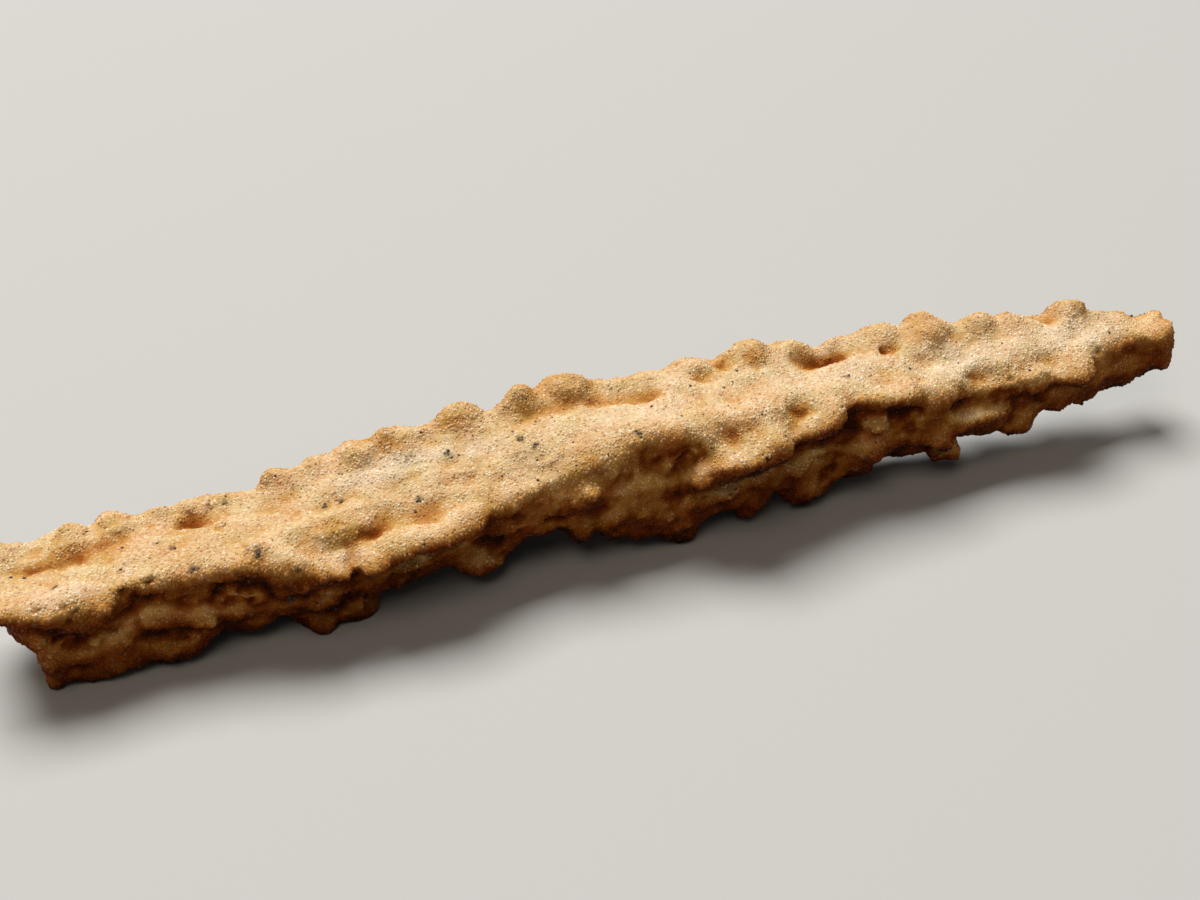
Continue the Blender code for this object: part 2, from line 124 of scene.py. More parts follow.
def softLight(name, size, place, power, colour):
    aim = Vector(viewpoint["aim"]) - Vector(place)
    bpy.ops.object.light_add(type="AREA", location=place,
                             rotation=aim.to_track_quat("-Z", "Y").to_euler())
    lamp = bpy.context.active_object
    lamp.name, lamp.data.size, lamp.data.energy = name, size, power
    lamp.data.color = linearColour(colour)[:3]


softLight("key_light", studio["keySize"], studio["keyPlace"], studio["keyPower"], studio["keyColour"])
softLight("fill_light", studio["fillSize"], studio["fillPlace"], studio["fillPower"],
          studio["fillColour"])
air = bpy.data.worlds.new("studio_air")
air.use_nodes = True
air.node_tree.nodes["Background"].inputs["Color"].default_value = linearColour(studio["airColour"])
air.node_tree.nodes["Background"].inputs["Strength"].default_value = studio["airStrength"]
bpy.context.scene.world = air
bpy.context.scene.view_settings.view_transform = "Standard"

# Matt painted board: pale and even, no gloss
boardPaint = bpy.data.materials.new("matt_board_paint")
boardPaint.use_nodes = True
boardShader = boardPaint.node_tree.nodes["Principled BSDF"]
boardShader.inputs["Base Color"].default_value = linearColour(studio["floorColour"])
boardShader.inputs["Roughness"].default_value = studio["floorRoughness"]
bpy.ops.mesh.primitive_plane_add(size=studio["floorSize"], location=(0, 0, 0))
floor = bpy.context.active_object
floor.name = "studio_floor"
floor.data.materials.append(boardPaint)

print("stage: fused skin")

# Lengths in mm. Lumps, clots and crumbs are ever finer, and swell is the broader waviness under them
skin = {"merge": 0.001, "voxel": 0.27, "smoothRounds": 5, "smoothFactor": 0.5, "broadRounds": 20,
        "softRounds": 12, "lumpWidth": 1.9, "lumpHeight": 0.42, "lumpSoftness": 0.5,
        "clotWidth": 0.85, "clotHeight": 0.32, "clotSoftness": 0.4, "levelDistance": 0.45,
        "crumbWidth": 0.45, "crumbHeight": 0.09, "crumbRoughness": 0.6,
        "swellWidth": 3.4, "swellHeight": 0.8, "topCalm": 0.66, "brokenCalm": 0.5,
        "edgeWander": 0.7, "wanderWidth": 1.4, "glazed": 0.2, "dentPaintedShade": 0.3,
        "backSpeckPitch": 6.4, "backSpeckRadius": 0.45, "backFrom": (3.5, 5.0),
        "clearOfFloor": (0.15, 0.6)}

# Marks on the bar in mm: place, half its length along the bar, half its width, and how far it stands out
relief = {
    "dentsOnTop": [
        (-52.6, 0.6, 10.0, 3.46, 1.4, -0.19), (-50.8, 0.8, 10.0, 3.46, 1.4, -0.15),
        (-48.8, 1.0, 10.2, 3.04, 1.4, -0.15), (-38.7, 2.6, 10.0, 1.66, 1.22, -0.23),
        (-37.1, 0.0, 10.6, 1.24, 1.05, -0.23), (-20.3, 3.3, 13.1, 2.21, 1.4, -0.19),
        (-15.1, 4.2, 13.4, 2.76, 1.4, -0.21), (-8.9, 3.9, 13.5, 2.76, 1.4, -0.21),
        (-3.9, 3.0, 13.6, 2.21, 1.22, -0.13), (-1.5, 2.5, 13.2, 2.48, 1.22, -0.15),
        (1.9, 2.3, 13.0, 3.59, 1.4, -0.26), (8.6, 3.4, 13.5, 1.66, 1.4, -0.26),
        (13.6, 3.1, 13.9, 1.66, 1.22, -0.19), (21.0, 2.7, 12.3, 3.31, 1.22, -0.26),
        (16.0, -3.5, 12.2, 1.93, 1.59, -0.36), (9.9, -1.9, 13.2, 1.38, 1.05, -0.1),
        (27.2, 1.6, 13.0, 1.66, 1.22, -0.26), (28.5, -2.5, 11.8, 1.38, 1.22, -0.26),
        (34.5, -2.3, 10.9, 1.66, 1.59, -0.31), (32.5, -4.0, 11.0, 1.24, 1.4, -0.26),
        (46.8, -0.6, 11.2, 1.24, 1.05, -0.21), (50.9, -2.2, 9.7, 3.31, 2.29, -0.19),
        (-28.2, -3.6, 10.8, 3.86, 1.4, -0.21), (-24.7, -4.1, 9.7, 2.76, 1.59, -0.26),
        (-19.5, 1.4, 11.9, 6.2, 1.05, -0.09)],
    "ridgesOnTop": [
        (-36.4, 0.7, 10.5, 0.9, 0.7, 0.3), (-25.2, -1.4, 10.7, 4.0, 1.0, 0.2),
        (-16.3, -0.7, 11.5, 5.0, 1.0, 0.2), (-6.9, -2.4, 11.9, 5.0, 1.0, 0.2),
        (-27.5, -5.3, 9.2, 1.0, 0.8, 0.3), (-31.4, -6.3, 10.1, 2.2, 0.8, 0.25)],
    "cracksUnderLips": [
        (-45.1, -4.8, 5.5, 2.4, 1.5, -0.24), (-51.3, -5.1, 7.3, 1.6, 1.1, -0.18),
        (-31.5, -5.4, 5.4, 1.0, 0.7, -0.3), (-29.1, -5.7, 4.6, 1.0, 0.8, -0.18),
        (-24.4, -6.9, 7.7, 1.4, 1.0, -0.24), (-21.9, -6.8, 8.6, 3.0, 0.5, -0.36),
        (-17.6, -3.9, 6.1, 1.6, 1.0, -0.18), (7.8, -7.3, 9.7, 3.4, 0.45, -0.3),
        (10.7, -7.1, 11.0, 0.8, 0.45, -0.42), (17.1, -3.8, 7.8, 2.2, 0.45, -0.3),
        (18.8, -3.7, 4.8, 1.4, 1.0, -0.24), (23.7, -4.2, 10.2, 2.2, 1.2, -0.3),
        (27.7, -4.4, 9.8, 1.6, 0.9, -0.24), (36.6, -4.0, 8.0, 2.4, 0.6, -0.24),
        (41.6, -2.5, 6.5, 2.4, 0.9, -0.21)],
    "mendedForms": [
        (-36.9, -4.0, 7.0, 2.6, 1.4, 0.8), (-35.0, -4.3, 6.4, 2.0, 1.4, 0.9),
        (3.4, -3.4, 10.1, 2.8, 1.8, 1.0), (4.6, -4.7, 9.2, 1.6, 1.1, 0.3),
        (-13.1, -3.9, 6.9, 3.5, 1.6, 0.7), (-9.0, -4.1, 7.9, 3.5, 1.6, 0.7),
        (-5.4, -4.6, 9.0, 2.0, 1.4, 0.4), (-18.0, -3.8, 5.3, 2.5, 1.3, 0.4),
        (49.2, 3.0, 12.8, 1.8, 1.3, 0.6), (-56.2, -4.6, 7.0, 1.8, 3.2, -1.3)],
    "nearEndFace": [
        (-51.0, -5.1, 8.4, 3.0, 0.8, 0.5), (-47.6, -5.6, 7.6, 2.2, 0.8, 0.45),
        (-50.5, -4.9, 6.5, 4.0, 0.5, -0.4), (-49.4, -4.6, 3.9, 4.5, 1.2, 0.4),
        (-39.7, -4.5, 3.9, 1.5, 0.9, 0.5), (-41.4, -4.6, 3.1, 1.8, 0.4, -0.5),
        (-42.6, -4.7, 1.9, 1.8, 0.8, 0.4)],
    "knobsAlongBack": [
        (-49.5, 3.6, 11.0, 1.4, 1.3, 0.4), (-45.6, 4.2, 11.2, 1.2, 1.2, 0.55),
        (-43.4, 4.2, 11.2, 0.8, 1.2, -0.4), (-41.2, 4.2, 11.0, 1.0, 1.1, 0.4),
        (-38.7, 4.3, 10.8, 0.9, 1.0, 0.5), (-37.0, 4.2, 10.8, 0.8, 0.9, 0.5),
        (-35.6, 4.3, 11.2, 0.8, 0.9, 0.6), (-31.8, 4.4, 11.8, 1.2, 1.1, 0.5)],
    "knobsOnFront": [
        (-47.4, -5.6, 9.0, 0.9, 0.8, 0.42), (-48.7, -4.4, 5.3, 0.8, 0.7, 0.42),
        (-50.1, -4.6, 6.3, 0.7, 0.6, 0.35), (-39.5, -5.3, 5.0, 1.4, 1.0, 0.7),
        (-42.7, -4.6, 2.6, 1.6, 1.0, 0.56), (-31.5, -7.1, 8.0, 1.1, 0.8, 0.7),
        (-11.3, -4.0, 7.3, 1.8, 1.0, 0.42), (-7.9, -3.9, 7.1, 1.6, 1.0, 0.35),
        (-5.0, -5.6, 9.6, 1.0, 0.9, 0.84), (-2.0, -3.6, 3.6, 1.3, 1.0, 0.56),
        (-0.1, -5.0, 5.7, 1.3, 1.0, 0.56), (2.3, -4.6, 4.1, 1.2, 0.9, 0.49),
        (4.5, -5.1, 5.6, 1.1, 0.8, 0.42), (16.2, -3.7, 3.0, 1.2, 1.0, 0.56),
        (23.2, -5.0, 9.2, 0.9, 0.7, 0.49), (22.0, -4.5, 6.1, 1.2, 1.0, 0.49),
        (29.9, -5.2, 5.8, 1.3, 1.0, 0.42), (35.5, -4.3, 6.9, 2.0, 0.7, 0.42),
        (22.2, -4.2, 4.6, 1.3, 1.1, 0.7)]}

# Places that are moved whole: place, half its length along the bar, half its width, and how far it goes
shifts = [
    (55.4, 3.2, 12.0, 3.0, 3.4, (0.0, 0.0, -2.2)), (57.4, 0.2, 10.4, 2.6, 3.4, (0.6, 0.0, 0.8)),
    (57.2, -1.2, 10.6, 1.8, 2.2, (0.2, 0.0, 0.9)), (56.4, -2.2, 8.0, 2.0, 2.4, (0.5, 0.0, -1.6)),
    (52.5, -2.3, 8.6, 3.5, 2.0, (0.0, 0.5, 0.0)), (50.2, 2.7, 11.6, 1.8, 1.9, (0.4, 0.0, 0.6)),
    (47.8, -2.0, 5.8, 2.6, 2.2, (0.0, 0.0, -1.7)), (45.0, -4.0, 9.8, 4.0, 2.2, (0.0, -1.2, -0.6)),
    (45.0, 2.8, 12.2, 2.4, 2.2, (0.0, 0.0, -0.8)), (37.0, -2.8, 4.8, 5.0, 3.4, (0.0, 0.0, -0.9)),
    (29.8, -3.6, 3.4, 2.2, 2.4, (0.0, 0.0, -0.6)), (33.2, -2.8, 3.8, 1.2, 1.8, (-0.6, 0.0, 1.0)),
    (31.0, -3.4, 2.4, 2.6, 2.6, (0.0, 0.0, 1.0)), (22.4, -3.4, 2.2, 2.6, 2.2, (0.0, 0.0, 2.2)),
    (14.4, -4.0, 2.4, 1.6, 2.0, (0.0, 0.0, 0.9)), (10.6, -4.2, 2.0, 1.2, 2.0, (0.0, 0.0, 0.8)),
    (4.4, -4.6, 1.4, 1.6, 1.8, (0.0, 0.0, 0.9)), (-3.0, -3.4, 2.6, 1.2, 1.6, (0.0, 0.0, 0.9)),
    (11.4, 4.6, 13.5, 1.8, 2.0, (0.0, 0.0, -0.8)), (9.5, -6.5, 10.8, 6.0, 2.2, (0.0, -1.0, 0.0)),
    (5.0, -3.6, 10.2, 2.2, 1.8, (0.0, -0.4, 0.7)), (-5.4, -4.2, 4.4, 2.8, 3.0, (0.0, -0.2, -1.3)),
    (-9.0, 4.9, 13.9, 3.0, 2.6, (0.0, 0.0, 1.0)), (-9.5, 4.2, 3.4, 9.0, 3.8, (0.0, 0.0, -2.0)),
    (-12.5, -3.4, 4.2, 2.4, 2.4, (0.0, 0.0, -1.0)), (-19.0, -6.6, 9.4, 5.0, 2.2, (0.0, -1.2, 0.0)),
    (-21.2, 4.7, 13.1, 1.6, 2.2, (0.0, 0.0, 0.6)), (-21.6, -4.2, 3.4, 2.2, 2.2, (0.0, 0.0, 1.0)),
    (-24.7, -4.0, 1.6, 1.5, 1.8, (-0.5, 0.0, 1.6)), (-22.9, -4.8, 4.2, 1.3, 1.6, (-0.5, 0.0, 0.9)),
    (-26.5, -7.0, 8.8, 6.0, 2.2, (0.0, -1.2, -0.2)), (-39.8, -4.5, 2.3, 1.4, 1.8, (0.0, 0.0, 1.0)),
    (-38.4, 4.4, 11.0, 4.0, 4.0, (0.0, 0.0, -0.8)), (-45.6, 4.2, 11.4, 6.0, 4.0, (0.0, 0.0, -0.8)),
    (-45.5, -4.2, 1.9, 4.5, 2.0, (0.0, 0.0, -0.6)), (-52.0, -5.0, 9.6, 5.0, 1.8, (0.0, -0.6, 0.0)),
    (-54.2, -4.8, 5.4, 2.4, 3.2, (0.7, 0.0, 0.5))]

# Burst bubbles, whose dark colour is painted shade, clots of dark grains and places that have weathered
# white (those with a negative amount are darkened instead): place in mm
pits = {"size": (0.65, 0.65, 1.0), "depth": 0.6, "places": [
    (-50.7, -5.5, 8.9), (-45.9, -4.6, 9.9), (-43.6, -4.6, 10.2), (10.6, -7.1, 11.1), (37.7, -3.8, 10.5),
    (26.9, 1.8, 13.1), (-50.6, -5.1, 9.6), (13.4, -6.5, 11.5), (48.2, -2.0, 10.2), (-52.7, -4.8, 9.7),
    (-49.7, -5.0, 9.6), (-4.7, 5.0, 9.0), (20.3, 4.5, 6.0), (-21.7, 5.0, 7.0)]}
specks = {"size": (0.6, 0.6, 1.0), "places": [
    (0.3, -3.2, 13.1), (-19.7, -2.2, 10.8), (-16.1, 1.2, 12.1), (-27.8, -0.2, 10.7), (-39.9, -4.3, 10.6),
    (-42.0, -0.5, 10.6), (-40.9, -1.4, 10.6), (23.2, 1.5, 12.8), (19.2, -4.7, 12.4), (-52.4, -4.7, 6.6),
    (-46.9, -4.5, 3.7), (-42.1, -5.1, 5.6), (-32.0, -6.8, 9.6), (-32.4, -5.1, 5.3), (-28.4, -4.0, 2.1),
    (3.5, -3.7, 9.4), (22.3, -4.7, 6.2), (-26.3, -0.2, 10.9), (36.4, -3.9, 9.6), (21.5, -0.9, 12.8),
    (-34.4, -5.3, 11.2), (-35.6, 3.6, 10.6), (-9.7, 0.4, 12.6), (-8.4, -0.7, 12.5), (37.6, -3.6, 10.6),
    (-51.2, -2.4, 10.2)]}
bleached = [
    (-21.7, 1.6, 11.9, 3.2, 1.8, 1.0), (-18.5, 1.6, 12.0, 4.0, 1.6, 1.0),
    (-24.1, 1.0, 11.6, 3.2, 1.8, 0.8), (-13.0, 1.3, 12.2, 4.0, 1.6, 0.5),
    (-49.5, -3.8, 10.4, 4.0, 1.5, 0.4), (0.0, 0.0, 12.8, 12.0, 3.0, 0.3),
    (20.0, 0.0, 12.6, 9.0, 3.5, 0.4), (34.0, -0.8, 11.7, 8.0, 4.0, 0.8),
    (46.0, 0.0, 11.2, 9.0, 3.5, 0.9), (-46.0, 1.0, 10.5, 14.0, 6.0, -0.3),
    (-42.0, -5.2, 3.6, 11.0, 3.4, -0.2)]

# Rounds of smoothing that a hollow is measured against, and the depth in mm that counts as 1
hollowScales = {"hollow": (10, 0.12), "hollowWide": (140, 0.8)}

bar = copyOf(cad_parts["fulgurite"], "fused_sand_skin")
bpy.ops.object.mode_set(mode="EDIT")
bpy.ops.mesh.select_all(action="SELECT")
bpy.ops.mesh.remove_doubles(threshold=skin["merge"] * mm)
bpy.ops.object.mode_set(mode="OBJECT")
bpy.ops.object.modifier_add(type="REMESH")
bar.modifiers[-1].mode = "VOXEL"
bar.modifiers[-1].voxel_size = skin["voxel"] * mm
bpy.ops.object.modifier_add(type="SMOOTH")
bar.modifiers[-1].factor = skin["smoothFactor"]
bar.modifiers[-1].iterations = skin["smoothRounds"]
applyAll(bar)


# The sum of soft-edged marks: full height at each place, nothing beyond its half sizes
def addMarks(tree, place, marks):
    total = 0.0
    for x, y, z, halfLength, halfWidth, height in marks:
        gap = addNode(tree, "ShaderNodeVectorMath", (place, (x * mm, y * mm, z * mm)),
                      operation="SUBTRACT")
        reach = (1 / (halfLength * mm), 1 / (halfWidth * mm), 1 / (halfWidth * mm))
        gap = addNode(tree, "ShaderNodeVectorMath", (gap, reach), operation="MULTIPLY")
        gap = addNode(tree, "ShaderNodeVectorMath", (gap,), operation="LENGTH").outputs["Value"]
        mark = addNode(tree, "ShaderNodeMapRange", {"Value": gap, "To Min": height, "To Max": 0.0},
                       interpolation_type="SMOOTHSTEP")
        total = addNode(tree, "ShaderNodeMath", (total, mark), operation="ADD")
    return total


def weatherSkin(thing):
    tree = newShapeTree("weather_skin")
    source = tree.nodes["Group Input"]
    place = addNode(tree, "GeometryNodeInputPosition")
    normal = addNode(tree, "GeometryNodeInputNormal").outputs[0]
    upward = addNode(tree, "ShaderNodeSeparateXYZ", (normal,)).outputs[2]
    broadNormal = addNode(tree, "GeometryNodeBlurAttribute",
                          {"Value": normal, "Iterations": skin["broadRounds"]}, data_type="FLOAT_VECTOR")
    # Marks have wandering edges, as nothing here is a clean ellipse
    wander = addNode(tree, "ShaderNodeTexNoise",
                     {"Vector": place, "Scale": 1 / (skin["wanderWidth"] * mm), "Detail": 1.0})
    wander = addNode(tree, "ShaderNodeVectorMath", (wander.outputs["Color"], (0.5, 0.5, 0.5)),
                     operation="SUBTRACT")
    wander = addNode(tree, "ShaderNodeVectorMath", {0: wander, "Scale": 2 * skin["edgeWander"] * mm},
                     operation="SCALE")
    wandered = addNode(tree, "ShaderNodeVectorMath", (place, wander), operation="ADD")

    marks = addMarks(tree, wandered, [mark for marks in relief.values() for mark in marks])
    pit = addMarks(tree, wandered, [p + pits["size"] for p in pits["places"]])
    speck = addMarks(tree, wandered, [p + specks["size"] for p in specks["places"]])
    bleach = addMarks(tree, wandered, bleached)
    # The glassy front knobs keep more of their stain, and the dents on top are darkened as painted shade
    glazed = addMarks(tree, wandered, [mark[:5] + (1.0,) for mark in relief["knobsOnFront"]])
    bleach = addNode(tree, "ShaderNodeMath", (glazed, -skin["glazed"], bleach), operation="MULTIPLY_ADD")
    dented = addMarks(tree, wandered, [mark[:5] + (1.0,) for mark in relief["dentsOnTop"]])
    bleach = addNode(tree, "ShaderNodeMath", (dented, -skin["dentPaintedShade"], bleach),
                     operation="MULTIPLY_ADD")

    # Dark clots on the far side too, scattered
    cells = addNode(tree, "ShaderNodeTexVoronoi",
                    {"Vector": wandered, "Scale": 1 / (skin["backSpeckPitch"] * mm)})
    clots = addNode(tree, "ShaderNodeMapRange",
                    {"Value": cells.outputs["Distance"], "To Min": 1.0, "To Max": 0.0,
                     "From Max": skin["backSpeckRadius"] / skin["backSpeckPitch"]},
                    interpolation_type="SMOOTHSTEP")
    coordinates = addNode(tree, "ShaderNodeSeparateXYZ", (place,))
    behind = addNode(tree, "ShaderNodeMapRange",
                     {"Value": coordinates.outputs[1], "From Min": skin["backFrom"][0] * mm,
                      "From Max": skin["backFrom"][1] * mm})
    clots = addNode(tree, "ShaderNodeMath", (clots, behind), operation="MULTIPLY")
    speck = addNode(tree, "ShaderNodeMath", (speck, clots), operation="ADD")

    lump = addNode(tree, "ShaderNodeTexVoronoi",
                   {"Vector": place, "Scale": 1 / (skin["lumpWidth"] * mm),
                    "Smoothness": skin["lumpSoftness"]}, feature="SMOOTH_F1")
    clot = addNode(tree, "ShaderNodeTexVoronoi",
                   {"Vector": place, "Scale": 1 / (skin["clotWidth"] * mm),
                    "Smoothness": skin["clotSoftness"]}, feature="SMOOTH_F1")
    crumb = addNode(tree, "ShaderNodeTexNoise",
                    {"Vector": place, "Scale": 1 / (skin["crumbWidth"] * mm), "Detail": 2.0,
                     "Roughness": skin["crumbRoughness"]})
    # Each cell is raised at its middle and sunk round its edge
    lumps = addNode(tree, "ShaderNodeMath",
                    (lump, -skin["lumpHeight"] * mm, skin["levelDistance"] * skin["lumpHeight"] * mm),
                    operation="MULTIPLY_ADD")
    clotted = addNode(tree, "ShaderNodeMath",
                      (clot, -skin["clotHeight"] * mm, skin["levelDistance"] * skin["clotHeight"] * mm),
                      operation="MULTIPLY_ADD")
    lumps = addNode(tree, "ShaderNodeMath", (lumps, clotted), operation="ADD")
    # The weathered top is calm, but not where a mark breaks it
    broken = addNode(tree, "ShaderNodeMath", (marks,), operation="ABSOLUTE")
    calm = addNode(tree, "ShaderNodeMath", (broken, -skin["brokenCalm"], upward),
                   operation="MULTIPLY_ADD")
    calm = addNode(tree, "ShaderNodeMapRange",
                   {"Value": calm, "To Min": 1.0, "To Max": 1 - skin["topCalm"]})
    crumbs = addNode(tree, "ShaderNodeMath",
                     (crumb, skin["crumbHeight"] * mm, -0.5 * skin["crumbHeight"] * mm),
                     operation="MULTIPLY_ADD")
    fine = addNode(tree, "ShaderNodeMath", (lumps, calm, crumbs), operation="MULTIPLY_ADD")
    fine = addNode(tree, "ShaderNodeMath", (pit, -pits["depth"] * mm, fine), operation="MULTIPLY_ADD")
    # Nothing grows under the level that the bar rests on
    free = addNode(tree, "ShaderNodeMapRange",
                   {"Value": coordinates.outputs[2], "From Min": skin["clearOfFloor"][0] * mm,
                    "From Max": skin["clearOfFloor"][1] * mm})
    fine = addNode(tree, "ShaderNodeMath", (fine, free), operation="MULTIPLY")
    swell = addNode(tree, "ShaderNodeTexNoise",
                    {"Vector": place, "Scale": 1 / (skin["swellWidth"] * mm), "Detail": 1.0})
    swell = addNode(tree, "ShaderNodeMath", (swell, -0.5), operation="ADD")
    coarse = addNode(tree, "ShaderNodeMath", (swell, skin["swellHeight"], marks),
                     operation="MULTIPLY_ADD")
    coarse = addNode(tree, "ShaderNodeMath", (coarse, free), operation="MULTIPLY")
    coarse = addNode(tree, "ShaderNodeMath", (coarse, mm), operation="MULTIPLY")
    push = addNode(tree, "ShaderNodeVectorMath", {0: broadNormal, "Scale": coarse}, operation="SCALE")
    for *mark, way in shifts:
        reach = addMarks(tree, place, [mark + [1.0]])
        moved = addNode(tree, "ShaderNodeVectorMath", {0: [c * mm for c in way], "Scale": reach},
                        operation="SCALE")
        push = addNode(tree, "ShaderNodeVectorMath", (push, moved), operation="ADD")
    shape = addNode(tree, "GeometryNodeSetPosition", {0: source, "Offset": push})
    push = addNode(tree, "ShaderNodeVectorMath", {0: normal, "Scale": fine}, operation="SCALE")
    shape = addNode(tree, "GeometryNodeSetPosition", {0: shape, "Offset": push})

    # How far a point lies under its surroundings, near it and further round
    hollows = {}
    for name, (rounds, full) in hollowScales.items():
        level = addNode(tree, "GeometryNodeBlurAttribute", {"Value": place, "Iterations": rounds},
                        data_type="FLOAT_VECTOR")
        gap = addNode(tree, "ShaderNodeVectorMath", (level, place), operation="SUBTRACT")
        along = addNode(tree, "ShaderNodeVectorMath", (gap, normal), operation="DOT_PRODUCT")
        along = along.outputs["Value"]
        hollows[name] = addNode(tree, "ShaderNodeMath", (along, full * mm), operation="DIVIDE")
    softUpward = addNode(tree, "GeometryNodeBlurAttribute",
                         {"Value": upward, "Iterations": skin["softRounds"]}, data_type="FLOAT")
    stored = {"speck": speck, "pit": pit, "bleach": bleach, **hollows, "upward": softUpward}
    for name, value in stored.items():
        shape = addNode(tree, "GeometryNodeStoreNamedAttribute",
                        {"Geometry": shape, "Name": name, "Value": value},
                        data_type="FLOAT", domain="POINT")
    shapeWith(thing, tree, shape)


weatherSkin(bar)
print("skin faces", len(bar.data.polygons))

print("stage: sand grains")

# Lengths in mm, density per square mm. The form's own measures are against a grain of size 1, and width
# and flatness are each the least and how much more there can be
grains = {"least": 0.19, "density": 18.0, "size": (0.22, 0.44), "skew": 1.6, "width": (0.7, 0.4),
          "flatness": (0.42, 0.4), "sunk": (0.022, 0.06), "tilt": 0.24, "lowest": 0.3,
          "foot": 0.74, "crown": 0.34, "thickness": 0.8, "unevenness": 0.14,
          "speckFrom": 0.35, "pitFrom": 0.3, "upward": -0.6, "stainAndShade": (-0.9, 0.7)}
grainSeeds = {"form": 4, "place": 3, "spin": 24, "kind": 11, "size": 21, "width": 22, "height": 23,
              "tone": 31}
# What share of the grains each kind has, on the bleached top and in the hollows and underside, where the
# darker mix is partly stain and partly painted shade
grainKinds = {
    "dark_grains": {"top": 0.005, "hollow": 0.012},
    "quartz_grains": {"top": 0.30, "hollow": 0.15},
    "milky_grains": {"top": 0.25, "hollow": 0.15},
    "tan_grains": {"top": 0.24, "hollow": 0.34},
    "honey_grains": {"top": 0.205, "hollow": 0.348}}

bpy.ops.object.select_all(action="DESELECT")
bpy.ops.mesh.primitive_cone_add(vertices=4, radius1=grains["foot"], radius2=grains["crown"],
                                depth=grains["thickness"])
grainForm = bpy.context.active_object
bpy.ops.object.mode_set(mode="EDIT")
bpy.ops.mesh.quads_convert_to_tris()
bpy.ops.transform.vertex_random(offset=grains["unevenness"], uniform=0.6, normal=0.4,
                                seed=grainSeeds["form"])
bpy.ops.object.mode_set(mode="OBJECT")
bpy.ops.object.shade_smooth()


